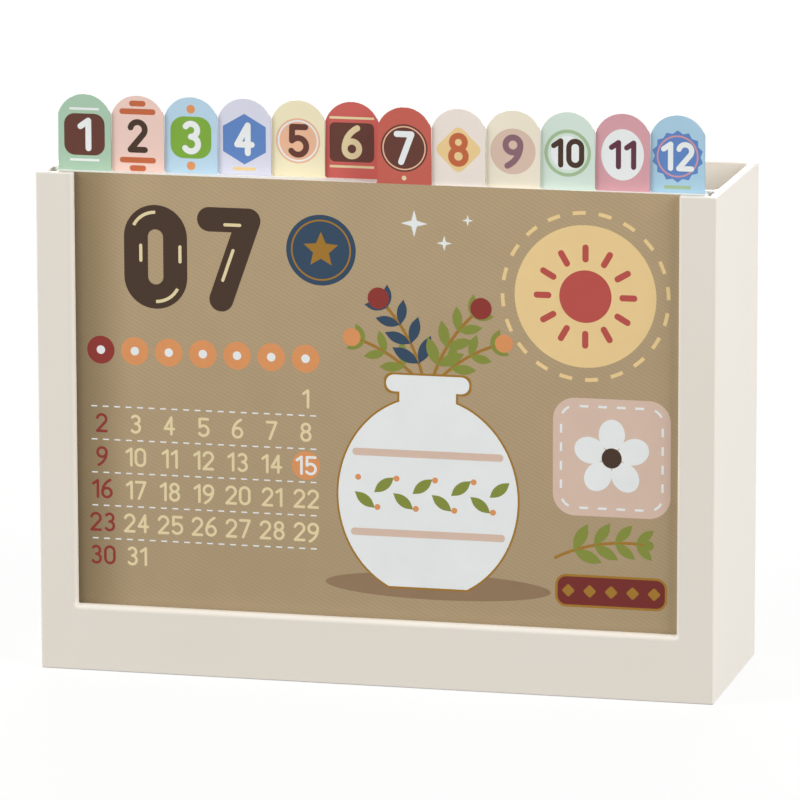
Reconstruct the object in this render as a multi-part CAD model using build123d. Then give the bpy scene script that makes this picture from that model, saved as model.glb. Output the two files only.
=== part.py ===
from build123d import *

import os

# A desk calendar with a pen holder. One moulded case has a U-shaped frame at the front, open at the top,
# a narrow card slot behind the frame, and an open bin for pens behind the slot. Twelve month cards stand in
# the slot, one behind the other, and lift out by the index tabs along their top edges.
# Sizes are in millimetres. The origin is under the middle of the case, on the surface that it stands on:
# X runs to the right, Y to the back and Z up.

# Case, outside
CASE_WIDTH = 204.0
CASE_DEPTH = 65.5
CASE_HEIGHT = 150.0
CORNER_RADIUS = 0.6  # upright outer edges
RIM_RADIUS = 0.5
FOOT_RADIUS = 0.4

# Case, walls
WALL = 2.6  # sides and back, at the rim
FLOOR = 2.4
PARTITION = 2.4  # between the card slot and the pen bin, at the rim
FRAME_THICKNESS = 2.4
UPRIGHT_WIDTH = 11.2  # sides of the front frame
SILL_HEIGHT = 20.0  # foot of the front frame
WINDOW_CORNER_RADIUS = 0.4
WINDOW_EDGE_RADIUS = 1.5  # front edge of the window
BIN_CORNER_RADIUS = 3.0
BIN_FLOOR_RADIUS = 1.5
BIN_DRAFT = 0.4  # degrees, so that the moulding leaves its core
SLOT_CORNER_RADIUS = 0.8

# Case, underside
STANDING_RIM = 5.0
RECESS_DEPTH = 0.7

# Cards
CARD_COUNT = 12
FRONT_MONTH = 7  # the months before it have gone to the back of the stack
CARD_THICKNESS = 0.5
CARD_GAP = 0.1
CARD_FRONT_PLAY = 0.15
CARD_BACK_PLAY = 0.75
CARD_SIDE_PLAY = 2.0
CARD_CORNER_RADIUS = 3.0
FRONT_SHIFT_SHARE = 0.48  # of the side play: how far right the front month and those behind it stand
TURNED_SHIFT_SHARE = -0.12  # the same for the turned months

# Index tabs
TAB_RISE = 22.6
TAB_ARCH_RISE = 5.9
TAB_TAPER = 0.1  # on each side, from root to shoulder
TAB_LAP = 0.1  # by which a tab, seen from the front, overlaps the next
TAB_ROW_MARGIN = 1.0  # from the card's side to the row of tabs
TAB_ROOT_RADIUS = 0.6

CUT_OVERRUN = 4.0

front_face = -CASE_DEPTH / 2
slot_front = front_face + FRAME_THICKNESS
stack_depth = CARD_COUNT * CARD_THICKNESS + (CARD_COUNT - 1) * CARD_GAP
slot_depth = CARD_FRONT_PLAY + stack_depth + CARD_BACK_PLAY
slot_width = CASE_WIDTH - 2 * WALL
bin_front = slot_front + slot_depth + PARTITION
bin_back = CASE_DEPTH / 2 - WALL
window_width = CASE_WIDTH - 2 * UPRIGHT_WIDTH
window_height = CASE_HEIGHT - SILL_HEIGHT + CUT_OVERRUN
card_width = slot_width - 2 * CARD_SIDE_PLAY
tab_pitch = (card_width - 2 * TAB_ROW_MARGIN) / CARD_COUNT
tab_width = tab_pitch + TAB_LAP


def front_plane(y):
    """An upright drawing plane at a depth, seen from the front: its x runs right and its y runs up."""
    return Plane(origin=(0, y, 0), x_dir=(1, 0, 0), z_dir=(0, -1, 0))


def make_case():
    with BuildPart() as case:
        with BuildSketch():
            RectangleRounded(CASE_WIDTH, CASE_DEPTH, CORNER_RADIUS)
        extrude(amount=CASE_HEIGHT)

        # Pen bin, narrowing a little towards its floor
        with BuildSketch(Plane.XY.offset(CASE_HEIGHT)):
            with Locations((0, (bin_front + bin_back) / 2)):
                RectangleRounded(slot_width, bin_back - bin_front, BIN_CORNER_RADIUS)
        extrude(amount=FLOOR - CASE_HEIGHT, taper=BIN_DRAFT, mode=Mode.SUBTRACT)
        bin_floor = case.faces().filter_by(Axis.Z).sort_by(Axis.Z)[1]
        fillet(bin_floor.edges(), BIN_FLOOR_RADIUS)

        # Card slot
        with BuildSketch(Plane.XY.offset(FLOOR)):
            with Locations((0, slot_front + slot_depth / 2)):
                RectangleRounded(slot_width, slot_depth, SLOT_CORNER_RADIUS)
        extrude(amount=CASE_HEIGHT - FLOOR, mode=Mode.SUBTRACT)

        # Window of the front frame, open at the top
        with BuildSketch(front_plane(front_face)):
            with Locations((0, SILL_HEIGHT)):
                RectangleRounded(
                    window_width, window_height, WINDOW_CORNER_RADIUS, align=(Align.CENTER, Align.MIN)
                )
        extrude(amount=-(FRAME_THICKNESS + slot_depth / 2), mode=Mode.SUBTRACT)

        # Softened edges: the window's front edge, the foot of the walls and the whole rim
        front_edges = case.faces().sort_by(Axis.Y)[0].edges()
        window_edges = [
            edge
            for edge in front_edges
            if edge.center().Z > SILL_HEIGHT / 2
            and edge.center().Z < CASE_HEIGHT
            and abs(edge.center().X) < (window_width + UPRIGHT_WIDTH) / 2
        ]
        fillet(window_edges, WINDOW_EDGE_RADIUS)
        fillet(case.edges().group_by(Axis.Z)[0], FOOT_RADIUS)
        fillet(case.edges().group_by(Axis.Z)[-1], RIM_RADIUS)

        # Recess under the floor, inside the rim that the case stands on
        with BuildSketch():
            RectangleRounded(
                CASE_WIDTH - 2 * STANDING_RIM, CASE_DEPTH - 2 * STANDING_RIM, CORNER_RADIUS
            )
        extrude(amount=RECESS_DEPTH, mode=Mode.SUBTRACT)
    return case.part


def make_card(month):
    """One month card in its place in the stack, with the tab of its month."""
    place = (month - FRONT_MONTH) % CARD_COUNT
    face_y = slot_front + CARD_FRONT_PLAY + place * (CARD_THICKNESS + CARD_GAP)
    shift_share = TURNED_SHIFT_SHARE if month < FRONT_MONTH else FRONT_SHIFT_SHARE
    centre = CARD_SIDE_PLAY * shift_share
    tab_centre = centre + (month - (CARD_COUNT + 1) / 2) * tab_pitch
    tab_left = tab_centre - tab_width / 2
    tab_right = tab_centre + tab_width / 2
    crown = CASE_HEIGHT + TAB_RISE
    shoulder = crown - TAB_ARCH_RISE

    with BuildPart() as card:
        with BuildSketch(front_plane(face_y)) as outline:
            with Locations((centre, FLOOR)):
                Rectangle(card_width, CASE_HEIGHT - FLOOR, align=(Align.CENTER, Align.MIN))
            fillet(outline.vertices().group_by(Axis.Y)[0], CARD_CORNER_RADIUS)
            with BuildLine():
                Line((tab_left, CASE_HEIGHT), (tab_left + TAB_TAPER, shoulder))
                ThreePointArc(
                    (tab_left + TAB_TAPER, shoulder),
                    (tab_centre, crown),
                    (tab_right - TAB_TAPER, shoulder),
                )
                Line((tab_right - TAB_TAPER, shoulder), (tab_right, CASE_HEIGHT))
                Line((tab_right, CASE_HEIGHT), (tab_left, CASE_HEIGHT))
            make_face()
            roots = [
                corner
                for corner in outline.vertices().group_by(Axis.Y)[-2]
                if abs(corner.X - tab_centre) < (tab_width + TAB_ROW_MARGIN) / 2
            ]
            fillet(roots, TAB_ROOT_RADIUS)
        extrude(amount=-CARD_THICKNESS)
    return card.part


os.makedirs("parts", exist_ok=True)
export_step(make_case(), "parts/case.step")
for month in range(1, CARD_COUNT + 1):
    export_step(make_card(month), f"parts/card_{month:02d}.step")
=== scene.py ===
import math
from collections import namedtuple

import bmesh
import bpy
from mathutils import Matrix, Vector


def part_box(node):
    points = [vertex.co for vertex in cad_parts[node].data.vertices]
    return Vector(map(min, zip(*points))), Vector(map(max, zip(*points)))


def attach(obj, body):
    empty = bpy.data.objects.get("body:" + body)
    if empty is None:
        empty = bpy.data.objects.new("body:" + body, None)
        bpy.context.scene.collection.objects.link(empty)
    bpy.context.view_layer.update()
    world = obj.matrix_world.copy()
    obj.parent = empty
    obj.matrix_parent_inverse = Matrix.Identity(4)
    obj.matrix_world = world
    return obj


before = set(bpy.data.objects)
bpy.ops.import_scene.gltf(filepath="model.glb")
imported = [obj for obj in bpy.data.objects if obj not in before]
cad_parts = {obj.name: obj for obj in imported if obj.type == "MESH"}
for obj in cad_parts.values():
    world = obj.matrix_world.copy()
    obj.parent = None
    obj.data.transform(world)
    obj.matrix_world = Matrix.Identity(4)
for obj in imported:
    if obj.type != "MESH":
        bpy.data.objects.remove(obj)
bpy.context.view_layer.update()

# A desk calendar with a pen holder: a cream moulded case, and twelve printed month cards that stand in its
# slot and lift out by their index tabs. The case and the cards are the CAD solids with their real finishes.
# What is printed on a card is thin films of ink on its front and its back, which ride with the card.
# Lengths are in metres. Prints are drawn flat in millimetres and then set upright on their card.

MM = 0.001
QUARTER = math.pi / 2
MONTHS = range(1, 13)
DAYS = (31, 28, 31, 30, 31, 30, 31, 31, 30, 31, 30, 31)
WEEK = 7
FRONT_MONTH = 7

# Width of the case's uprights and height of its sill, around its window
UPRIGHT_WIDTH, SILL_HEIGHT = 11.2 * MM, 20 * MM

# Places read from the frame
case_low, case_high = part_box("case")
RIM = case_high.z
WINDOW_LEFT = case_low.x + UPRIGHT_WIDTH
SILL = case_low.z + SILL_HEIGHT

# Prints, in millimetres
FILM = 0.006  # by which a film of ink stands above the one that it overlaps
FILM_SINK = 0.004  # how far a film reaches into the card
ROUND_ERROR = 0.02  # by which a side of a round shape may leave the true curve
FEWEST_SIDES, FEWEST_STEPS = 12, 4  # of a circle and of an arc, however small

INKS = {
    "white": "#F4F8F7",
    "cream": "#EFDDAE",
    "butter": "#F6D699",
    "dusty_pink": "#E1C5B3",
    "peach": "#F2BE9C",
    "orange": "#E59A60",
    "rust": "#C8693F",
    "brick": "#BD5048",
    "dark_red": "#8E2F28",
    "maroon": "#70201A",
    "plum": "#5C2A40",
    "mauve": "#8C6672",
    "rose": "#D79AA4",
    "dark_brown": "#3A2412",
    "cocoa": "#5E3227",
    "shade": "#94795C",
    "olive": "#86903A",
    "leaf_green": "#7FAE3A",
    "sage": "#A9C49A",
    "mint": "#A6CDB0",
    "teal": "#4F8D8A",
    "sky": "#9CC5E0",
    "blue": "#6289C8",
    "navy": "#29425A",
}

# Ground of each month's card and colour of its tab
GROUNDS = {
    1: "#BDD8C3", 2: "#E9CBBE", 3: "#B9D3E4", 4: "#CDCFE5", 5: "#F0E2BA", 6: "#C97A72",
    7: "#BBA480", 8: "#E6D6D0", 9: "#EDDFC8", 10: "#C8DFD0", 11: "#CE9BA6", 12: "#A8C9DF",
}
TABS = {
    1: "#B0D0B6", 2: "#F7D5C9", 3: "#BFDDF0", 4: "#E2E3F3", 5: "#FAF0CB", 6: "#D2645C",
    7: "#CB6254", 8: "#F8EDE3", 9: "#F9F0DA", 10: "#DDEEE2", 11: "#DDA5AD", 12: "#B0D5EA",
}


# Materials

CARD_SHEEN = {"Roughness": 0.5, "IOR": 1.42}
MOTTLE = {"To Min": 0.95, "To Max": 1.05}  # how far the stock lightens and darkens a colour


def linear(hex_colour):
    """An sRGB hex colour as linear red, green and blue, with full alpha."""
    channels = [int(hex_colour[i:i + 2], 16) / 255 for i in (1, 3, 5)]
    return [c / 12.92 if c <= 0.04045 else ((c + 0.055) / 1.055) ** 2.4 for c in channels] + [1.0]


def fill(tree, node, inputs):
    """Fills a node's inputs, each with a value or from the socket to link from."""
    for name, value in inputs.items():
        if isinstance(value, bpy.types.NodeSocket):
            tree.links.new(value, node.inputs[name])
        else:
            node.inputs[name].default_value = value


def add(tree, kind, inputs=None, **settings):
    """Adds a node with its own settings and its inputs."""
    node = tree.nodes.new(kind)
    for name, value in settings.items():
        setattr(node, name, value)
    fill(tree, node, inputs or {})
    return node


def new_material(name):
    """A material with its node tree, its shader and the sockets of its texture coordinates."""
    material = bpy.data.materials.new(name)
    material.use_nodes = True
    tree = material.node_tree
    coordinates = add(tree, "ShaderNodeTexCoord")
    return material, tree, tree.nodes["Principled BSDF"], coordinates.outputs


def moulded_abs():
    """Cream ABS from a spark-eroded mould: an even satin skin, faintly clouded, whose grain softens
    highlights."""
    # The real grain is about 0.1 mm. It is drawn larger, so that it shows.
    cloud_size, grain_size, grain_depth = 40 * MM, 0.6 * MM, 0.012 * MM
    material, tree, shader, place = new_material("moulded_abs")
    cloud = add(
        tree, "ShaderNodeTexNoise",
        {"Vector": place["Object"], "Scale": 1 / cloud_size, "Detail": 2.0},
    )
    grain = add(
        tree, "ShaderNodeTexNoise",
        {"Vector": place["Object"], "Scale": 1 / grain_size, "Detail": 1.0},
    )
    tone = add(
        tree, "ShaderNodeMix",
        {0: cloud.outputs["Fac"], 6: linear("#EFE8DC"), 7: linear("#F3EDE3")}, data_type="RGBA",
    )
    gloss = add(
        tree, "ShaderNodeMapRange", {"Value": cloud.outputs["Fac"], "To Min": 0.36, "To Max": 0.46},
    )
    bump = add(
        tree, "ShaderNodeBump",
        {"Height": grain.outputs["Fac"], "Strength": 0.5, "Distance": grain_depth},
    )
    fill(tree, shader, {
        "Base Color": tone.outputs[2], "Roughness": gloss.outputs["Result"],
        "Normal": bump.outputs["Normal"], "IOR": 1.53,
    })
    return material


def paper_tooth(tree, place):
    """The faint tooth of coated card: fibres under the coating, drawn large enough to show."""
    fibre_size, fibre_depth = 0.9 * MM, 0.012 * MM
    fibres = add(
        tree, "ShaderNodeTexNoise",
        {"Vector": place["Object"], "Scale": 1 / fibre_size, "Detail": 3.0},
    )
    bump = add(
        tree, "ShaderNodeBump",
        {"Height": fibres.outputs["Fac"], "Strength": 0.4, "Distance": fibre_depth},
    )
    return bump.outputs["Normal"]


def window_shade(tree, where, ink):
    """The front month's ground with painted shade: a painted shadow of the left upright that makes it
    darker and warmer towards the window's left edge, painted shade that darkens it towards the foot, and
    painted dark lines of contact shade along the window's left edge and sill. Gives the shaded ink and the
    tones to multiply it by."""
    # Painted shadow of the left upright: the ground turns darker and warmer over the first 18 mm from the
    # window's left edge
    shade_start, shade_end, shade_shares = 3 * MM, 18 * MM, (0.66, 0.64, 0.58, 1.0)
    fade_height, painted_foot_shade_share = 125 * MM, 0.9
    # Painted dark lines of contact shade along the window's left edge and along the sill
    edges = (("X", WINDOW_LEFT, 1.8 * MM, 0.6), ("Z", SILL, 2 * MM, 0.84))  # axis, place, width and share
    reach = add(
        tree, "ShaderNodeMapRange",
        {"Value": where["X"], "From Min": WINDOW_LEFT + shade_start, "From Max": WINDOW_LEFT + shade_end},
        interpolation_type="SMOOTHSTEP",
    )
    shaded = [colour * share for colour, share in zip(ink, shade_shares)]
    mixed = add(tree, "ShaderNodeMix", {0: reach.outputs["Result"], 6: shaded, 7: ink}, data_type="RGBA")
    # Painted shade that darkens the ground towards the foot
    tones = [add(
        tree, "ShaderNodeMapRange",
        {
            "Value": where["Z"], "From Min": SILL, "From Max": SILL + fade_height,
            "To Min": painted_foot_shade_share, "To Max": 1.0,
        },
    )]
    for along, level, width, share in edges:
        beyond = add(tree, "ShaderNodeMath", {0: where[along], 1: level}, operation="SUBTRACT")
        distance = add(tree, "ShaderNodeMath", {0: beyond.outputs[0]}, operation="ABSOLUTE")
        tones.append(add(
            tree, "ShaderNodeMapRange",
            {"Value": distance.outputs[0], "From Max": width, "To Min": share, "To Max": 1.0},
        ))
    return mixed.outputs[2], tones


def coated_card(month):
    """Coated card stock, printed by offset: a finely lined ground, a plain tab in the month's colour whose
    cut sides are darkened as painted shade, a white back and white cut edges. The front month's ground
    carries painted shade from the window frame."""
    line_pitch, line_fall, mottle_size = 1.1 * MM, math.radians(62), 14 * MM
    wave_pitch = math.pi / 10  # of a wave texture's bands, in units at scale 1
    flat_limit, side_limit = 0.5, 0.9  # from which a face's direction counts as front or back, or as a side
    # Painted shade: the tab's cut sides are coloured a darker share of the tab's colour
    side_shade_share = 0.4  # of the tab's colour, on its cut sides
    material, tree, shader, place = new_material(f"coated_card_{month:02d}")
    where = add(tree, "ShaderNodeSeparateXYZ", {"Vector": place["Object"]}).outputs
    facing = add(tree, "ShaderNodeSeparateXYZ", {"Vector": place["Normal"]}).outputs
    on_tab = add(tree, "ShaderNodeMath", {0: where["Z"], 1: RIM}, operation="GREATER_THAN").outputs[0]
    on_front = add(
        tree, "ShaderNodeMath", {0: facing["Y"], 1: -flat_limit}, operation="LESS_THAN",
    ).outputs[0]
    on_back = add(
        tree, "ShaderNodeMath", {0: facing["Y"], 1: flat_limit}, operation="GREATER_THAN",
    ).outputs[0]
    sideways = add(tree, "ShaderNodeMath", {0: facing["X"]}, operation="ABSOLUTE").outputs[0]
    on_side = add(tree, "ShaderNodeMath", {0: sideways, 1: side_limit}, operation="GREATER_THAN").outputs[0]
    on_tab_side = add(tree, "ShaderNodeMath", {0: on_tab, 1: on_side}, operation="MULTIPLY").outputs[0]

    # Fine lines that fall to the right
    slant = add(tree, "ShaderNodeMapping", {"Vector": place["Object"], "Rotation": (0, line_fall, 0)})
    lines = add(
        tree, "ShaderNodeTexWave",
        {"Vector": slant.outputs["Vector"], "Scale": wave_pitch / line_pitch, "Distortion": 0.0},
    )
    line_tone = add(
        tree, "ShaderNodeMapRange", {"Value": lines.outputs["Fac"], "To Min": 0.95, "To Max": 1.03},
    )
    mottle = add(
        tree, "ShaderNodeTexNoise",
        {"Vector": place["Object"], "Scale": 1 / mottle_size, "Detail": 4.0},
    )
    mottle_tone = add(tree, "ShaderNodeMapRange", {"Value": mottle.outputs["Fac"], **MOTTLE})
    ground_ink, tones = linear(GROUNDS[month]), [line_tone, mottle_tone]
    # Only the front month's ground gets the painted shade of the window frame
    if month == FRONT_MONTH:
        ground_ink, painted_shadow_tones = window_shade(tree, where, ground_ink)
        tones += painted_shadow_tones
    tone = tones[0].outputs["Result"]
    for other in tones[1:]:
        tone = add(
            tree, "ShaderNodeMath", {0: tone, 1: other.outputs["Result"]}, operation="MULTIPLY",
        ).outputs[0]
    ground = add(tree, "ShaderNodeHueSaturation", {"Color": ground_ink, "Value": tone})

    tab_ink, paper = linear(TABS[month]), linear("#FAF8F3")
    tab = add(
        tree, "ShaderNodeHueSaturation", {"Color": tab_ink, "Value": mottle_tone.outputs["Result"]},
    )
    # The tab's cut sides, darkened as painted shade
    painted_side_shade = [colour * side_shade_share for colour in tab_ink[:3]] + [1.0]
    edge = add(tree, "ShaderNodeMix", {0: on_tab_side, 6: paper, 7: painted_side_shade}, data_type="RGBA")
    front = add(
        tree, "ShaderNodeMix",
        {0: on_tab, 6: ground.outputs["Color"], 7: tab.outputs["Color"]}, data_type="RGBA",
    )
    back = add(tree, "ShaderNodeMix", {0: on_tab, 6: paper, 7: tab.outputs["Color"]}, data_type="RGBA")
    with_front = add(
        tree, "ShaderNodeMix", {0: on_front, 6: edge.outputs[2], 7: front.outputs[2]}, data_type="RGBA",
    )
    colour = add(
        tree, "ShaderNodeMix",
        {0: on_back, 6: with_front.outputs[2], 7: back.outputs[2]}, data_type="RGBA",
    )
    fill(tree, shader, {"Base Color": colour.outputs[2], "Normal": paper_tooth(tree, place), **CARD_SHEEN})
    return material


def offset_ink(name, hex_colour):
    """Offset ink on coated card: even colour, slightly mottled by the stock, with the card's low sheen."""
    mottle_size = 9 * MM
    material, tree, shader, place = new_material(f"offset_ink_{name}")
    mottle = add(
        tree, "ShaderNodeTexNoise",
        {"Vector": place["Object"], "Scale": 1 / mottle_size, "Detail": 4.0},
    )
    tone = add(tree, "ShaderNodeMapRange", {"Value": mottle.outputs["Fac"], **MOTTLE})
    colour = add(
        tree, "ShaderNodeHueSaturation", {"Color": linear(hex_colour), "Value": tone.outputs["Result"]},
    )
    fill(tree, shader, {
        "Base Color": colour.outputs["Color"], "Normal": paper_tooth(tree, place), **CARD_SHEEN,
    })
    return material


def gold_foil():
    """Hot-stamped gold foil: a thin metal skin, creased by the stock under it, brighter and darker in
    patches."""
    patch_size = 3 * MM
    material, tree, shader, place = new_material("hot_stamped_gold_foil")
    patches = add(
        tree, "ShaderNodeTexNoise",
        {"Vector": place["Object"], "Scale": 1 / patch_size, "Detail": 3.0},
    )
    gloss = add(
        tree, "ShaderNodeMapRange", {"Value": patches.outputs["Fac"], "To Min": 0.26, "To Max": 0.44},
    )
    fill(tree, shader, {
        "Roughness": gloss.outputs["Result"], "Normal": paper_tooth(tree, place),
        "Base Color": linear("#9C7434"), "Metallic": 1.0,
    })
    return material


# Flat shapes, drawn in millimetres with x to the right and y up

def placed(x, y, width=1.0, height=1.0, turn=0.0):
    """Where a unit shape goes: scaled to its size, turned by degrees and moved to its middle."""
    return (
        Matrix.Translation((x, y, 0))
        @ Matrix.Rotation(math.radians(turn), 4, "Z")
        @ Matrix.Diagonal((width, height, 1, 1))
    )


def polar(x, y, distance, angle):
    """The point at a distance and an angle, in degrees, from another."""
    return x + distance * math.cos(math.radians(angle)), y + distance * math.sin(math.radians(angle))


def round_steps(radius):
    """How many sides a full circle of a radius needs to look round."""
    return max(FEWEST_SIDES, math.ceil(math.pi / math.acos(1 - ROUND_ERROR / radius)))


def ellipse(x, y, width, height, turn=0.0):
    shape = bmesh.new()
    bmesh.ops.create_circle(
        shape, cap_ends=True, radius=0.5, segments=round_steps(max(width, height) / 2),
        matrix=placed(x, y, width, height, turn),
    )
    return shape


def disc(x, y, diameter):
    return ellipse(x, y, diameter, diameter)


def bar(x, y, width, height, turn=0.0):
    shape = bmesh.new()
    bmesh.ops.create_grid(
        shape, x_segments=1, y_segments=1, size=0.5, matrix=placed(x, y, width, height, turn),
    )
    return shape


def panel(x, y, width, height, radius, turn=0.0):
    """A rectangle with rounded corners."""
    shape = bar(0, 0, width, height)
    bmesh.ops.bevel(
        shape, geom=shape.verts[:], offset=radius, affect="VERTICES",
        segments=round_steps(radius) // 4, profile=0.5, material=-1,
    )
    shape.transform(placed(x, y, turn=turn))
    return shape


def leaf(x, y, length, width, turn):
    """A leaf with pointed ends: a lozenge whose two side corners are rounded. It starts at its foot."""
    lozenge_width_share, rounded_percent = 1.45, 62
    shape = bmesh.new()
    bmesh.ops.create_circle(shape, cap_ends=True, radius=0.5, segments=4)
    shape.transform(Matrix.Diagonal((length, width * lozenge_width_share, 1, 1)))
    sides = [v for v in shape.verts if abs(v.co.y) > abs(v.co.x)]
    bmesh.ops.bevel(
        shape, geom=sides, offset=rounded_percent, offset_type="PERCENT", affect="VERTICES",
        segments=round_steps(length) // 8, profile=0.5, material=-1,
    )
    shape.transform(placed(x, y, turn=turn) @ Matrix.Translation((length / 2, 0, 0)))
    return shape


def band(x, y, radius, width, start, sweep):
    """A strip bent along an arc about a centre, from a start angle through a sweep, in degrees."""
    shape = bmesh.new()
    first = [shape.verts.new((radius + side * width / 2, 0, 0)) for side in (-1, 1)]
    edge = shape.edges.new(first)
    bmesh.ops.spin(
        shape, geom=[*first, edge], cent=(0, 0, 0), axis=(0, 0, 1), angle=math.radians(sweep),
        steps=max(FEWEST_STEPS, round(round_steps(radius) * abs(sweep) / 360)),
        use_merge=abs(sweep) == 360,
    )
    shape.transform(placed(x, y, turn=start))
    return shape


def star(x, y, diameter, points, waist_share):
    """A star: every other corner of a circle drawn in to a share of its radius."""
    shape = bmesh.new()
    bmesh.ops.create_circle(shape, cap_ends=True, radius=diameter / 2, segments=2 * points)
    for corner in shape.verts[:][1::2]:
        corner.co *= waist_share
    shape.transform(placed(x, y))
    return shape


def triangle(x, y, width, height):
    """A triangle that points up from the middle of its base."""
    shape = bmesh.new()
    corners = [shape.verts.new(corner) for corner in ((-0.5, 0, 0), (0.5, 0, 0), (0, 1, 0))]
    shape.faces.new(corners)
    shape.transform(placed(x, y, width, height))
    return shape


def cut_off(shape, y, side):
    """Cuts a shape level at a height and drops what lies above it, for a side of 1, or below it, for -1."""
    bmesh.ops.bisect_plane(
        shape, geom=[*shape.verts, *shape.edges, *shape.faces], plane_co=(0, y, 0), plane_no=(0, side, 0),
        clear_outer=True,
    )
    return shape


def stroke(start, end, width):
    """A straight line with round ends."""
    across, up = end[0] - start[0], end[1] - start[1]
    length = math.hypot(across, up) + width
    middle = (start[0] + end[0]) / 2, (start[1] + end[1]) / 2
    almost_half = 0.499
    return panel(*middle, length, width, width * almost_half, math.degrees(math.atan2(up, across)))


# Digits with round stroke ends, drawn one unit high

DIGIT_WIDTH, DIGIT_GAP = 0.62, 0.1
FLAG_REACH, FLAG_DROP = 0.24, 0.17  # the short stroke of a 1
ARC_STREAK, LINE_STREAK = (0.5, 0.85), (0.4, 0.78)  # where a streak of gloss starts and ends along a stroke
STREAK_WIDTH, STREAK_SHIFT = 0.13, 0.2  # its width and its shift from the middle, as shares of the stroke


def digit_lines(digit, weight):
    """The middle lines of a digit's strokes, for strokes of a weight: arcs by centre, radius, start and
    sweep in degrees, and straight lines by their ends."""
    low, high = weight / 2, 1 - weight / 2
    side = (DIGIT_WIDTH - weight) / 2
    flag_x = FLAG_REACH / 2
    hook_start, hook_sweep = -35, 200
    elbow = polar(0, high - side, side, hook_start)
    upper, lower, loop_sweep = (high - low) * 0.235, (high - low) * 0.265, 235
    post_x, crossbar_y = 0.1, 0.34
    bowl, bowl_start, bowl_end = lower * 1.14, -146, 138
    neck, shoulder = polar(0, low + bowl, bowl, bowl_end), (-0.8 * side, high)
    stem, stem_end = side * 3.1, 116
    heel = -0.4 * side, low
    arcs = {
        "0": [(0, high - side, side, 0, 180), (0, low + side, side, 180, 180)],
        "2": [(0, high - side, side, hook_start, hook_sweep)],
        "3": [
            (0, high - upper, upper, -90, loop_sweep),
            (0, low + lower, lower, 90 - loop_sweep, loop_sweep),
        ],
        "5": [(0, low + bowl, bowl, bowl_start, bowl_end - bowl_start)],
        "6": [(0, low + side, side, 0, 360), (stem - side, low + side, stem, stem_end, 180 - stem_end)],
        "8": [(0, high - upper, upper, 0, 360), (0, low + lower, lower, 0, 360)],
    }
    arcs["9"] = [(-x, 1 - y, radius, start + 180, sweep) for x, y, radius, start, sweep in arcs["6"]]
    lines = {
        "0": [((s, low + side), (s, high - side)) for s in (-side, side)],
        "1": [((flag_x, low), (flag_x, high)), ((flag_x, high), (-flag_x, high - FLAG_DROP))],
        "2": [(elbow, (-side, low)), ((-side, low), (side, low))],
        "4": [
            ((post_x, low), (post_x, high)),
            ((post_x, high), (-side, crossbar_y)),
            ((-side, crossbar_y), (side, crossbar_y)),
        ],
        "5": [(neck, shoulder), (shoulder, (side, high))],
        "7": [((-side, high), (side, high)), ((side, high), heel)],
    }
    return arcs.get(digit, []), lines.get(digit, [])


def numeral(text, x, y, height, weight, ink, gloss=None):
    """Films for a number of a height, centred on a point, with strokes of a weight that is a share of the
    height. Gloss is the ink of thin streaks along the strokes."""
    thick = weight * height
    streak_thick, streak_shift = thick * STREAK_WIDTH, thick * STREAK_SHIFT
    widths = [FLAG_REACH + weight if digit == "1" else DIGIT_WIDTH for digit in text]
    left = x - height * (sum(widths) + DIGIT_GAP * (len(text) - 1)) / 2
    foot = y - height / 2
    films, streaks = [], []
    for digit, width in zip(text, widths):
        middle = left + height * width / 2
        left += height * (width + DIGIT_GAP)
        arcs, lines = digit_lines(digit, weight)
        for across, up, share, start, sweep in arcs:
            centre, radius = (middle + across * height, foot + up * height), share * height
            films.append((band(*centre, radius, thick, start, sweep), ink))
            # A half circle meets straight strokes and a full one itself. Other arcs get round ends.
            if sweep not in (180, 360):
                for angle in (start, start + sweep):
                    films.append((disc(*polar(*centre, radius, angle), thick), ink))
            streak = start + sweep * ARC_STREAK[0], sweep * (ARC_STREAK[1] - ARC_STREAK[0])
            streaks.append((band(*centre, radius + streak_shift, streak_thick, *streak), gloss))
        for ends in lines:
            start, end = [Vector((middle + across * height, foot + up * height)) for across, up in ends]
            films.append((stroke(start, end, thick), ink))
            aside = Vector((end.y - start.y, start.x - end.x)).normalized() * streak_shift
            streak = [start.lerp(end, share) + aside for share in LINE_STREAK]
            streaks.append((stroke(*streak, streak_thick), gloss))
    return films + streaks if gloss else films


# Printing on a card. A film is a flat shape and the name of its ink, and a list of films is in the order in
# which they are printed.

INK_MATERIALS = {name: offset_ink(name, colour) for name, colour in INKS.items()}
INK_MATERIALS["gold"] = gold_foil()


def extent(shape):
    """A flat shape's left, right, lower and upper limits."""
    across = [v.co.x for v in shape.verts]
    up = [v.co.y for v in shape.verts]
    return min(across), max(across), min(up), max(up)


def meet(one, other):
    """Whether two extents overlap."""
    return one[0] < other[1] and other[0] < one[1] and one[2] < other[3] and other[2] < one[3]


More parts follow.
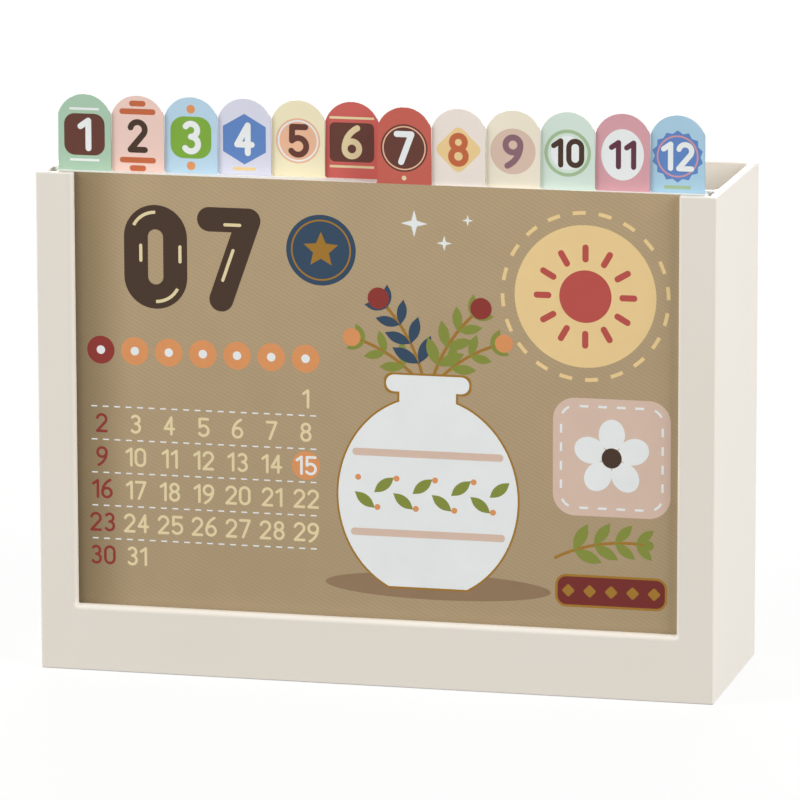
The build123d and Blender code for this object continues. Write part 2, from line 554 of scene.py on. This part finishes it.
def print_on(card, name, films, middle, behind=False):
    """Joins films into one piece on a card's front, or behind it, each a level above the films that it
    overlaps. The drawing's middle goes to a place along X."""
    low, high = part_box(card)
    on_card = Matrix.Translation((middle, high.y if behind else low.y, 0))
    half_turn = Matrix.Rotation(2 * QUARTER if behind else 0, 4, "Z")
    upright = on_card @ half_turn @ Matrix.Rotation(QUARTER, 4, "X") @ Matrix.Scale(MM, 4)
    mesh = bpy.data.meshes.new(name)
    inks = sorted({ink for shape, ink in films})
    for ink in inks:
        mesh.materials.append(INK_MATERIALS[ink])
    whole = bmesh.new()
    laid = []
    for shape, ink in films:
        place = extent(shape)
        level = 1 + max((below for other, below in laid if meet(place, other)), default=0)
        laid.append((place, level))
        shape.normal_update()
        bmesh.ops.solidify(shape, geom=shape.faces[:], thickness=level * FILM + FILM_SINK)
        front = max(v.co.z for v in shape.verts)
        shape.transform(Matrix.Translation((0, 0, level * FILM - front)))
        bmesh.ops.recalc_face_normals(shape, faces=shape.faces[:])
        for face in shape.faces:
            face.material_index = inks.index(ink)
        shape.transform(upright)
        film = bpy.data.meshes.new("film")
        shape.to_mesh(film)
        shape.free()
        whole.from_mesh(film)
        bpy.data.meshes.remove(film)
    whole.to_mesh(mesh)
    whole.free()
    piece = bpy.data.objects.new(name, mesh)
    bpy.context.scene.collection.objects.link(piece)
    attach(piece, card)


# Parts of a month's front

STAR_POINTS, STAR_WAIST = 5, 0.46
SPARKLE_POINTS, FLAKE_POINTS, SPARKLE_WAIST = 4, 6, 0.3


def dashes(start, end, dash, width, ink):
    """A straight broken line, whose gaps are about as long as its dashes."""
    across, up = end[0] - start[0], end[1] - start[1]
    count = round(math.hypot(across, up) / (2 * dash))
    turn = math.degrees(math.atan2(up, across))
    shares = [(n + 0.5) / count for n in range(count)]
    return [(bar(start[0] + across * s, start[1] + up * s, dash, width, turn), ink) for s in shares]


def stitched_square(x, y, size, ink, thread):
    """A rounded square with a line of stitches inside its edge."""
    radius, margin, dash, thickness, corner_sweep = 6.5, 2.4, 2.6, 0.7, 40
    seam, run = size / 2 - margin, size / 2 - radius
    films = [(panel(x, y, size, size, radius), ink)]
    for side in (-1, 1):
        level, edge = y + side * seam, x + side * seam
        films += dashes((x - run, level), (x + run, level), dash, thickness, thread)
        films += dashes((edge, y - run), (edge, y + run), dash, thickness, thread)
        for end in (-1, 1):
            start = math.degrees(math.atan2(end, side)) - corner_sweep / 2
            corner = x + side * run, y + end * run
            films.append((band(*corner, radius - margin, thickness, start, corner_sweep), thread))
    return films


def stitched_disc(x, y, diameter, ink):
    """A disc inside a ring of stitches of its own colour."""
    margin, thickness, stitches = 3.6, 1.1, 20
    pitch = 360 / stitches
    films = [(disc(x, y, diameter), ink)]
    for n in range(stitches):
        films.append((band(x, y, diameter / 2 + margin, thickness, pitch * n, pitch / 2), ink))
    return films


def sun(x, y, size, ink):
    """A round sun with short rays."""
    rays, disc_share, ray_place_share = 12, 0.5, 0.41
    ray_sizes = [size * share for share in (0.17, 0.06, 0.028)]  # length, width and radius of the ends
    films = [(disc(x, y, size * disc_share), ink)]
    for n in range(rays):
        turn = 360 * n / rays
        films.append((panel(*polar(x, y, size * ray_place_share, turn), *ray_sizes, turn), ink))
    return films


def flower(x, y, size, petal, heart, turn=90):
    """A flower of oval petals around a round heart."""
    petals, reach_share, heart_share = 5, 0.3, 0.26
    petal_sizes = size * 0.4, size * 0.34
    films = []
    for n in range(petals):
        angle = turn + 360 * n / petals
        films.append((ellipse(*polar(x, y, size * reach_share, angle), *petal_sizes, angle), petal))
    films.append((disc(x, y, size * heart_share), heart))
    return films


def sprig(x, y, length, lean, pairs, ink, bud, bud_ink):
    """A stem that leans by degrees to the right and bends further, with pairs of leaves and a bud at its
    end."""
    bend_share, stem_width, tip_share = 1.6, 0.9, 0.6
    leaf_turn, leaf_share, leaf_taper, leaf_width_share = 42, 0.34, 0.12, 0.42
    side = 1 if lean >= 0 else -1
    radius = length * bend_share
    heading = 90 - lean
    centre = polar(x, y, radius, heading - side * 90)
    start = heading + side * 90
    sweep = -side * math.degrees(length / radius)
    films = [(band(*centre, radius, stem_width, start, sweep), "gold")]
    for n in range(1, pairs + 1):
        share = n / (pairs + tip_share)
        angle = start + sweep * share
        size = length * (leaf_share - leaf_taper * share)
        for turn in (-leaf_turn, leaf_turn):
            foot = polar(*centre, radius, angle)
            films.append((leaf(*foot, size, size * leaf_width_share, angle - side * 90 + turn), ink))
    films.append((disc(*polar(*centre, radius, start + sweep), bud), bud_ink))
    return films


def label(x, y, width, height, ink, marks):
    """A level label with a gold rim and a row of gold lozenges."""
    rim, radius, mark_share, mark_round_share, mark_turn = 0.7, 2.6, 0.34, 0.06, 45
    films = [(panel(x, y, width + 2 * rim, height + 2 * rim, radius + rim), "gold")]
    films.append((panel(x, y, width, height, radius), ink))
    for n in range(marks):
        across = x + width * ((n + 0.5) / marks - 0.5)
        size = height * mark_share
        films.append((panel(across, y, size, size, height * mark_round_share, mark_turn), "gold"))
    return films


def hills(x, y, rows):
    """Round hills, cut off level at their foot. A row has a hill's middle, width, height and ink."""
    return [
        (cut_off(ellipse(x + across, y + up, width, height), y, -1), ink)
        for across, up, width, height, ink in rows
    ]


# Pictures. Each stands on a foot at a point and is at most about 68 mm wide and 92 mm high. The rows in
# brackets give places from that foot, across and up, and then sizes.

def vase_with_sprigs(x, y, inks):
    """A round vase on its shadow, rimmed with gold, with a belt of leaves and sprigs with buds."""
    glaze, belt, leaves, other_leaves, bud, other_bud = inks
    width, height, rim = 54.0, 60.0, 0.6
    shadow_x, shadow_y, shadow_overhang, shadow_height = 3, 0.5, 14, 8
    body, neck, lip = y + 27, y + 54, y + 61
    neck_width, neck_height, neck_radius = 17.0, 14, 1
    lip_width, lip_height, lip_radius = 25.0, 5, 2.4
    stripes = ((40, 0.84), (16, 0.86))  # height and share of the vase's width
    stripe_height, stripe_radius = 2.2, 1
    belt_leaves, pitch, turn, leaf_x, leaf_y, leaf_size = 8, 5.8, 38, -22, 28, (7.6, 3.4)
    berry_x, berry_levels, berry_size = -21, (32.4, 23.6), 1.8
    sprigs = (  # across, length, lean, pairs of leaves and their ink, size and ink of the bud
        (-2, 25, -40, 3, leaves, 5.4, bud),
        (2, 25, 40, 3, leaves, 5.4, bud),
        (-1, 29, -11, 4, other_leaves, 6.4, other_bud),
        (1, 28, 15, 4, leaves, 6.4, other_bud),
    )
    films = [(ellipse(x + shadow_x, y + shadow_y, width + shadow_overhang, shadow_height), "shade")]
    for across, *kind in sprigs:
        films += sprig(x + across, lip, *kind)
    for grow, ink in ((2 * rim, "gold"), (0, glaze)):
        films.append((cut_off(ellipse(x, body, width + grow, height + grow), y - grow / 2, -1), ink))
        films.append((panel(x, neck, neck_width + grow, neck_height, neck_radius), ink))
        films.append((panel(x, lip, lip_width + grow, lip_height + grow, lip_radius), ink))
    for level, share in stripes:
        films.append((panel(x, y + level, width * share, stripe_height, stripe_radius), belt))
    for n in range(belt_leaves):
        tilt = turn if n % 2 else -turn
        films.append((leaf(x + leaf_x + pitch * n, y + leaf_y, *leaf_size, tilt), leaves))
        films.append((disc(x + berry_x + pitch * n, y + berry_levels[n % 2], berry_size), bud))
    return films


def hills_and_sun(x, y, inks):
    """Three hills with trees in front of a low sun."""
    far, near, front, sun_ink = inks
    rows = ((-9, 2, 42, 78, far), (12, 0, 42, 62, near), (0, -4, 62, 42, front))
    trees, tree_width, tree_height = ((-18, 7), (-7, 10), (4, 7), (15, 10)), 6, 11
    sun_x, sun_y, sun_size = 6, 58, 44
    films = sun(x + sun_x, y + sun_y, sun_size, sun_ink) + hills(x, y, rows)
    for across, up in trees:
        films.append((triangle(x + across, y + up, tree_width, tree_height), far))
    return films


def blossoms(x, y, inks):
    """Flowers on a bent twig."""
    petal, other, heart, twig = inks
    twig_x, twig_y, twig_arc = 44, 6, (66, 1.8, 116, 66)  # its centre, radius, width, start and sweep
    turn, turn_step = 90, 15
    flowers = ((-12, 12, 24), (10, 30, 28), (-16, 45, 22), (12, 64, 24), (-10, 76, 16))
    films = [(band(x + twig_x, y + twig_y, *twig_arc), twig)]
    for n, (across, up, size) in enumerate(flowers):
        ink = petal if n % 2 else other
        films += flower(x + across, y + up, size, ink, heart, turn + turn_step * n)
    return films


def rain_cloud(x, y, inks):
    """A cloud with slanting drops of rain."""
    cloud, lining, drop, other = inks
    puffs = ((-16, 58, 26), (0, 66, 38), (17, 58, 24))
    base_up, base_sizes, lining_shift = 52, (56, 15, 7.4), 2.0
    rows, drops, drop_sizes, drop_turn = 4, 4, (9, 3.6), 70
    drop_x, drop_y, drop_pitch, row_pitch, row_shift = -21, 32, 13, 10, 6
    films = []
    for ink, shift in ((lining, lining_shift), (cloud, 0.0)):
        for across, up, size in puffs:
            films.append((disc(x + across + shift, y + up - shift, size), ink))
        films.append((panel(x + shift, y + base_up - shift, *base_sizes), ink))
    for row in range(rows):
        odd = row % 2
        for n in range(drops - odd):
            across, up = drop_x + drop_pitch * n + row_shift * odd, drop_y - row_pitch * row
            ink = drop if (n + row) % 2 else other
            films.append((leaf(x + across, y + up, *drop_sizes, drop_turn), ink))
    return films


def waves_and_boat(x, y, inks):
    """A small sailing boat over rows of waves, with a round sun."""
    sea, crest, sail, hull = inks
    deck, hull_width, hull_height = y + 46, 44, 24
    rows, waves, wave_x, wave_y, wave_pitch, row_pitch = 4, 5, -22, 4, 11, 8
    wave = 4.6, 1.1, 20, 140  # radius, width, start and sweep
    sun_x, sun_y, sun_size = 17, 76, 16
    sea_y, sea_sizes = 17, (58, 34, 4)
    sails, sail_lift = ((-9, 18, 32, sail), (10, 13, 23, "white")), 3  # across, width, height and ink
    films = [(disc(x + sun_x, y + sun_y, sun_size), "butter"), (panel(x, y + sea_y, *sea_sizes), sea)]
    for row in range(rows):
        odd = row % 2
        for n in range(waves - odd):
            across, up = wave_x + wave_pitch * n + wave_pitch / 2 * odd, wave_y + row_pitch * row
            films.append((band(x + across, y + up, *wave), crest))
    for across, width, height, ink in sails:
        films.append((triangle(x + across, deck + sail_lift, width, height), ink))
    films.append((cut_off(ellipse(x, deck, hull_width, hull_height), deck, 1), hull))
    return films


def drifting_leaves(x, y, inks):
    """Loose leaves of several sizes with gold ribs."""
    width_share, rib_place_share, rib_share, rib_width, rib_radius = 0.46, 0.46, 1.05, 0.6, 0.25
    leaves = (  # across, up, size and turn
        (-26, 8, 28, 35), (4, 2, 24, 80), (14, 16, 25, 20), (-21, 38, 29, 62), (6, 44, 27, 28),
        (-18, 72, 23, 15), (12, 68, 24, 70),
    )
    films = []
    for n, (across, up, size, turn) in enumerate(leaves):
        foot = x + across, y + up
        films.append((leaf(*foot, size, size * width_share, turn), inks[n % len(inks)]))
        rib = polar(*foot, size * rib_place_share, turn)
        films.append((panel(*rib, size * rib_share, rib_width, rib_radius, turn), "gold"))
    return films


def rainbow(x, y, inks):
    """A rainbow between two clouds, with stars over it."""
    foot, radius, pitch, thickness = y + 18, 29, 4.6, 4.4
    puffs, cloud_x, cloud_y = ((-7, 14), (2, 18), (9, 12)), 17, y + 17  # across and size
    stars = ((-20, 70, 9), (2, 77, 13), (20, 66, 8))
    films = [(band(x, foot, radius - pitch * n, thickness, 0, 180), ink) for n, ink in enumerate(inks)]
    for side in (-1, 1):
        for across, size in puffs:
            films.append((disc(x + side * cloud_x + across, cloud_y, size), "white"))
    for across, up, size in stars:
        films.append((star(x + across, y + up, size, STAR_POINTS, STAR_WAIST), "butter"))
    return films


def snowy_hills(x, y, inks):
    """White hills with fir trees under falling snow."""
    snow, far, fir, other = inks
    flakes = ((-24, 48, 5), (-10, 66, 8), (6, 80, 6), (23, 60, 8), (-23, 82, 5), (24, 82, 4))
    rows = ((11, 0, 44, 82, far), (-9, -2, 42, 64, snow), (1, -6, 62, 44, "white"))
    firs, tiers = ((-16, 8, 15), (4, 11, 18), (20, 6, 13)), 3
    tier_pitch, tier_width, tier_narrowing, tier_height = 0.42, 0.8, 0.16, 0.72  # shares of a fir's size
    films = []
    for across, up, size in flakes:
        films.append((star(x + across, y + up, size, FLAKE_POINTS, SPARKLE_WAIST), "white"))
    films += hills(x, y, rows)
    for across, up, size in firs:
        for n in range(tiers):
            level, width = y + up + size * tier_pitch * n, size * (tier_width - tier_narrowing * n)
            tier = triangle(x + across, level, width, size * tier_height)
            films.append((tier, fir if n % 2 else other))
    return films


# A month's front, laid out in millimetres from the card's middle and from the foot of the case

NUMBER_PLACE, NUMBER_HEIGHT, NUMBER_WEIGHT = (-56.0, 125.5), 31.0, 0.235
GRID_X, GRID_TOP, COLUMN, ROW = -53.0, 97.0, 10.4, 10.0
DATE_HEIGHT, DATE_WEIGHT = 5.8, 0.14
PICTURE_PLACE = 15.0, 30.0
SEAL_PLACE, SEAL_SIZE, SEAL_RING_WIDTH = (-17.0, 129.5), 21.0, 0.5
SEAL_RING_SHARE, SEAL_STAR_SHARE = 0.42, 0.52  # of the seal's size: the ring's radius and the star's size
ROUND_PATCH, ROUND_PATCH_SIZE, SUN_SIZE = (62.0, 119.0), 42, 31
SQUARE_PATCH, SQUARE_PATCH_SIZE, FLOWER_SIZE = (70.0, 71.5), 35, 23
LABEL_PLACE, LABEL_WIDTH, LABEL_HEIGHT, LABEL_MARKS = (70, 31.5), 32, 8.4, 5
TWIG_PLACE, TWIG_LENGTH, TWIG_LEAN, TWIG_PAIRS, TWIG_BUD = (53, 41), 29, 62, 4, 3.0
SPARKLES = ((11.0, 138.5, 8.0), (20.0, 133.0, 4.6), (27.0, 140.0, 3.4))  # middle and size of each

# A month's picture and that picture's inks, and then the ink of each other part
Design = namedtuple("Design", "picture inks number dates rest heads round_patch square_patch label twig")
DESIGNS = {
    1: Design(
        snowy_hills, ("sky", "blue", "teal", "navy"),
        "navy", "navy", "dark_red", "teal", "white", "butter", "brick", "teal",
    ),
    2: Design(
        blossoms, ("rust", "white", "butter", "cocoa"),
        "cocoa", "cocoa", "brick", "rust", "white", "butter", "brick", "olive",
    ),
    3: Design(
        hills_and_sun, ("sage", "leaf_green", "olive", "orange"),
        "navy", "navy", "brick", "orange", "white", "mint", "leaf_green", "olive",
    ),
    4: Design(
        rain_cloud, ("white", "sky", "blue", "navy"),
        "navy", "navy", "brick", "blue", "white", "butter", "mauve", "teal",
    ),
    5: Design(
        blossoms, ("peach", "rose", "butter", "olive"),
        "cocoa", "cocoa", "brick", "orange", "white", "peach", "rust", "olive",
    ),
    6: Design(
        vase_with_sprigs, ("cream", "brick", "olive", "cocoa", "butter", "white"),
        "dark_brown", "cream", "dark_red", "cocoa", "butter", "peach", "cocoa", "cream",
    ),
    7: Design(
        vase_with_sprigs, ("white", "dusty_pink", "olive", "navy", "orange", "dark_red"),
        "dark_brown", "cream", "dark_red", "orange", "butter", "dusty_pink", "maroon", "olive",
    ),
    8: Design(
        waves_and_boat, ("sky", "white", "orange", "cocoa"),
        "cocoa", "cocoa", "brick", "orange", "white", "dusty_pink", "rust", "teal",
    ),
    9: Design(
        hills_and_sun, ("dusty_pink", "butter", "orange", "rust"),
        "mauve", "mauve", "brick", "orange", "white", "butter", "mauve", "olive",
    ),
    10: Design(
        drifting_leaves, ("olive", "orange", "rust", "sage"),
        "dark_brown", "dark_brown", "brick", "olive", "white", "cream", "rust", "olive",
    ),
    11: Design(
        drifting_leaves, ("plum", "white", "brick", "dusty_pink"),
        "plum", "white", "dark_red", "mauve", "dusty_pink", "mauve", "plum", "cream",
    ),
    12: Design(
        rainbow, ("rose", "butter", "sage", "blue"),
        "navy", "navy", "dark_red", "blue", "white", "rose", "navy", "teal",
    ),
}


def date_grid(month, dates, rest, heads):
    """The days of a month in rows of seven under a row of discs, with broken lines between the rows."""
    head_size, dot_size, marked_day, mark_size = 8.4, 2.6, 15, 8.6
    date_drop, rule_drop = 1.2, 0.7  # in rows, from the heads to a first row of dates and a line above it
    rule_overhang, rule_dash, rule_width = 4, 1.8, 0.4
    columns = [GRID_X + (n - WEEK // 2) * COLUMN for n in range(WEEK)]
    first, days = sum(DAYS[:month - 1]) % WEEK, DAYS[month - 1]
    films = []
    for n, x in enumerate(columns):
        films.append((disc(x, GRID_TOP, head_size), heads if n else rest))
        films.append((disc(x, GRID_TOP, dot_size), "white"))
    for row in range(1, math.ceil((first + days) / WEEK)):
        level = GRID_TOP - (row + rule_drop) * ROW
        ends = (columns[0] - rule_overhang, level), (columns[-1] + rule_overhang, level)
        films += dashes(*ends, rule_dash, rule_width, "white")
    for day in range(1, days + 1):
        row, column = divmod(first + day - 1, WEEK)
        x, y = columns[column], GRID_TOP - (row + date_drop) * ROW
        ink = dates if column else rest
        if day == marked_day:
            films.append((disc(x, y, mark_size), heads))
            ink = "white"
        films += numeral(str(day), x, y, DATE_HEIGHT, DATE_WEIGHT, ink)
    return films


def month_front(month):
    """A month's front: its number, a seal, two stitched patches, a label, a twig, dates and a picture."""
    design = DESIGNS[month]
    films = stitched_disc(*ROUND_PATCH, ROUND_PATCH_SIZE, design.round_patch)
    films += sun(*ROUND_PATCH, SUN_SIZE, "brick")
    films += stitched_square(*SQUARE_PATCH, SQUARE_PATCH_SIZE, design.square_patch, "white")
    films += flower(*SQUARE_PATCH, FLOWER_SIZE, "white", design.number)
    films += label(*LABEL_PLACE, LABEL_WIDTH, LABEL_HEIGHT, design.label, LABEL_MARKS)
    films += sprig(*TWIG_PLACE, TWIG_LENGTH, TWIG_LEAN, TWIG_PAIRS, design.twig, TWIG_BUD, design.twig)
    films.append((disc(*SEAL_PLACE, SEAL_SIZE), "navy"))
    films.append((band(*SEAL_PLACE, SEAL_SIZE * SEAL_RING_SHARE, SEAL_RING_WIDTH, 0, 360), "gold"))
    films.append((star(*SEAL_PLACE, SEAL_SIZE * SEAL_STAR_SHARE, STAR_POINTS, STAR_WAIST), "gold"))
    for x, y, size in SPARKLES:
        films.append((star(x, y, size, SPARKLE_POINTS, SPARKLE_WAIST), "white"))
    films += numeral(f"{month:02d}", *NUMBER_PLACE, NUMBER_HEIGHT, NUMBER_WEIGHT, design.number, "cream")
    films += date_grid(month, design.dates, design.rest, design.heads)
    films += design.picture(*PICTURE_PLACE, design.inks)
    return films


def month_back(month):
    """A month's back: ruled lines for notes under a strip with the month's number."""
    width, strip_y, strip_height, strip_radius = 172.0, 134.0, 15.0, 4
    number_x, number_height = -73.0, 8.0
    line_count, line_pitch, line_height, first_gap = 11, 9.6, 0.35, 5
    films = [(panel(0, strip_y, width, strip_height, strip_radius), DESIGNS[month].heads)]
    films += numeral(f"{month:02d}", number_x, strip_y, number_height, TAB_WEIGHT, "white")
    for n in range(1, line_count + 1):
        films.append((bar(0, strip_y - first_gap - line_pitch * n, width, line_height), "shade"))
    return films


# Tabs, laid out from the middle of the tab and from the foot of the case

TAB_MIDDLE, TAB_WEIGHT = 160.6, 0.18
ONE_DIGIT_HEIGHT, TWO_DIGIT_HEIGHT = 10.0, 8.6
TAB_NUMBERS = {
    1: "white", 2: "dark_brown", 3: "white", 4: "white", 5: "cocoa", 6: "cream",
    7: "white", 8: "rust", 9: "mauve", 10: "dark_brown", 11: "plum", 12: "white",
}
DARK_TABS = (6, 7)

# What is behind a tab's number: the kind of shape, its height above the tab's middle, its sizes and its ink
TAB_SHAPES = {
    1: [
        (panel, 0, (12.4, 12.4, 3.2), "cocoa"),
        (bar, 7.6, (9, 0.7), "white"),
        (bar, -7.6, (9, 0.7), "white"),
    ],
    2: [
        (panel, up, (width, 1.7, 0.8), "rust")
        for up, width in ((-7.2, 11), (-9.6, 5), (7.2, 11), (9.6, 5))
    ],
    3: [
        (panel, 0, (12.4, 12.4, 4), "leaf_green"),
        (disc, 8.4, (2.6,), "orange"),
        (disc, -8.4, (2.6,), "orange"),
    ],
    4: [(star, 0, (15, 3, 1), "blue"), (panel, -8.8, (7, 1, 0.45), "butter")],
    5: [(disc, 0, (13.4,), "peach"), (band, 0, (5.9, 0.5, 0, 360), "white")],
    6: [
        (panel, 0, (13.4, 11.6, 1.6), "cocoa"),
        (bar, 7.2, (13.4, 0.7), "cream"),
        (bar, -7.2, (13.4, 0.7), "cream"),
    ],
    7: [
        (disc, 0, (14,), "cocoa"),
        (band, 0, (6.3, 0.4, 0, 360), "peach"),
        (disc, -8.8, (1.4,), "cream"),
    ],
    8: [(panel, 0, (10.4, 10.4, 2, 45), "butter")],
    9: [(disc, 0, (13.4,), "dusty_pink")],
    10: [(band, 0, (6.4, 1, 0, 360), "sage"), (disc, 0, (10,), "white")],
    11: [(ellipse, 0, (12.6, 15), "white")],
    12: [
        (star, 0, (15.2, 14, 0.88), "blue"),
        (band, 0, (5.9, 0.5, 0, 360), "rose"),
        (panel, -9, (8, 1, 0.45), "sage"),
    ],
}


def tab_number(month, ink):
    height = ONE_DIGIT_HEIGHT if month < 10 else TWO_DIGIT_HEIGHT
    return numeral(str(month), 0, TAB_MIDDLE, height, TAB_WEIGHT, ink)


def tab_front(month):
    """A tab's number over plain shapes."""
    films = [(draw(0, TAB_MIDDLE + up, *sizes), ink) for draw, up, sizes, ink in TAB_SHAPES[month]]
    return films + tab_number(month, TAB_NUMBERS[month])


def tab_back(month):
    """A tab's number on its back, in an ink that stands out from the tab's colour."""
    return tab_number(month, "cream" if month in DARK_TABS else "cocoa")


def middle_above(card, level):
    """The middle along X of what a card has above a level."""
    across = [v.co.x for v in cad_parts[card].data.vertices if v.co.z > level]
    return (min(across) + max(across)) / 2


# The object

def wear(node, material):
    """Gives a CAD node its finish."""
    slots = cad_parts[node].data.materials
    slots.clear()
    slots.append(material)


wear("case", moulded_abs())
for month in MONTHS:
    card = f"card_{month:02d}"
    wear(card, coated_card(month))
    body_middle, tab_middle = middle_above(card, 0), middle_above(card, RIM + MM)
    print_on(card, f"{card}_front_print", month_front(month), body_middle)
    print_on(card, f"{card}_back_print", month_back(month), body_middle, behind=True)
    print_on(card, f"{card}_tab_print", tab_front(month), tab_middle)
    print_on(card, f"{card}_tab_back_print", tab_back(month), tab_middle, behind=True)


# The stage

FLOOR_SIZE = 8.0
WORLD_STRENGTH = 0.32
LAMP_DISTANCE, LAMP_SIZE = 2.5, 1.5
LAMPS = {  # the way to each lamp from the middle of the object, and its power in watts
    "left_softbox": ((-0.82, -0.42, 0.38), 43),
    "right_softbox": ((0.84, -0.32, 0.44), 45),
    "back_softbox": ((-0.2, 0.94, 0.28), 33),
}


def seen_directly(tree):
    """A socket that is 1 for rays from the camera, reflections or clear surfaces, and 0 for other light."""
    path = add(tree, "ShaderNodeLightPath").outputs
    seen = path["Is Camera Ray"]
    for kind in ("Is Glossy Ray", "Is Transmission Ray"):
        seen = add(tree, "ShaderNodeMath", {0: seen, 1: path[kind]}, operation="MAXIMUM").outputs[0]
    return seen


def pale_floor():
    """Matt pale paper that keeps the shadow and looks nearly white to the camera and in reflections."""
    white_share = 0.85
    material, tree, shader = new_material("matt_paper_floor")[:3]
    seen = seen_directly(tree)
    colour = add(
        tree, "ShaderNodeMix", {0: seen, 6: linear("#949391"), 7: linear("#FAFAF9")}, data_type="RGBA",
    )
    fill(tree, shader, {"Base Color": colour.outputs[2], "Roughness": 0.9})
    amount = add(tree, "ShaderNodeMath", {0: seen, 1: white_share}, operation="MULTIPLY")
    white = add(tree, "ShaderNodeEmission", {"Color": (1, 1, 1, 1), "Strength": 1.0})
    mix = add(
        tree, "ShaderNodeMixShader",
        {0: amount.outputs[0], 1: shader.outputs["BSDF"], 2: white.outputs["Emission"]},
    )
    tree.links.new(mix.outputs["Shader"], tree.nodes["Material Output"].inputs["Surface"])
    return material


def lay_floor():
    shape = bmesh.new()
    bmesh.ops.create_grid(shape, x_segments=1, y_segments=1, size=FLOOR_SIZE / 2)
    mesh = bpy.data.meshes.new("floor")
    shape.to_mesh(mesh)
    shape.free()
    mesh.materials.append(pale_floor())
    floor = bpy.data.objects.new("floor", mesh)
    bpy.context.scene.collection.objects.link(floor)


def light_world():
    """Even light from all sides, and white to the camera and in reflections."""
    world = bpy.data.worlds.new("studio")
    bpy.context.scene.world = world
    world.use_nodes = True
    tree = world.node_tree
    level = add(
        tree, "ShaderNodeMapRange", {"Value": seen_directly(tree), "To Min": WORLD_STRENGTH, "To Max": 1.0},
    )
    tree.nodes["Background"].inputs["Color"].default_value = (1, 1, 1, 1)
    tree.links.new(level.outputs["Result"], tree.nodes["Background"].inputs["Strength"])


def softbox(name, direction, power):
    """A square lamp that points at the middle of the object."""
    lamp = bpy.data.lights.new(name, "AREA")
    lamp.size = LAMP_SIZE
    lamp.energy = power
    holder = bpy.data.objects.new(name, lamp)
    towards = Vector(direction).normalized()
    holder.location = Vector((0, 0, RIM / 2)) + towards * LAMP_DISTANCE
    holder.rotation_euler = towards.to_track_quat("Z", "Y").to_euler()
    bpy.context.scene.collection.objects.link(holder)


def place_camera():
    """A long lens, from the right and a little above."""
    stand = 0.4631, -1.9064, 0.4736
    turned, lowered, rolled = 13.645, 11.353, 0.11
    lens = bpy.data.cameras.new("camera")
    lens.sensor_width = 36.0
    lens.lens = 302.9
    holder = bpy.data.objects.new("camera", lens)
    holder.matrix_world = (
        Matrix.Translation(stand)
        @ Matrix.Rotation(math.radians(turned), 4, "Z")
        @ Matrix.Rotation(math.radians(90 - lowered), 4, "X")
        @ Matrix.Rotation(math.radians(-rolled), 4, "Z")
    )
    bpy.context.scene.collection.objects.link(holder)
    bpy.context.scene.camera = holder


lay_floor()
light_world()
for name, (direction, power) in LAMPS.items():
    softbox(name, direction, power)
place_camera()
bpy.context.scene.view_settings.view_transform = "Standard"
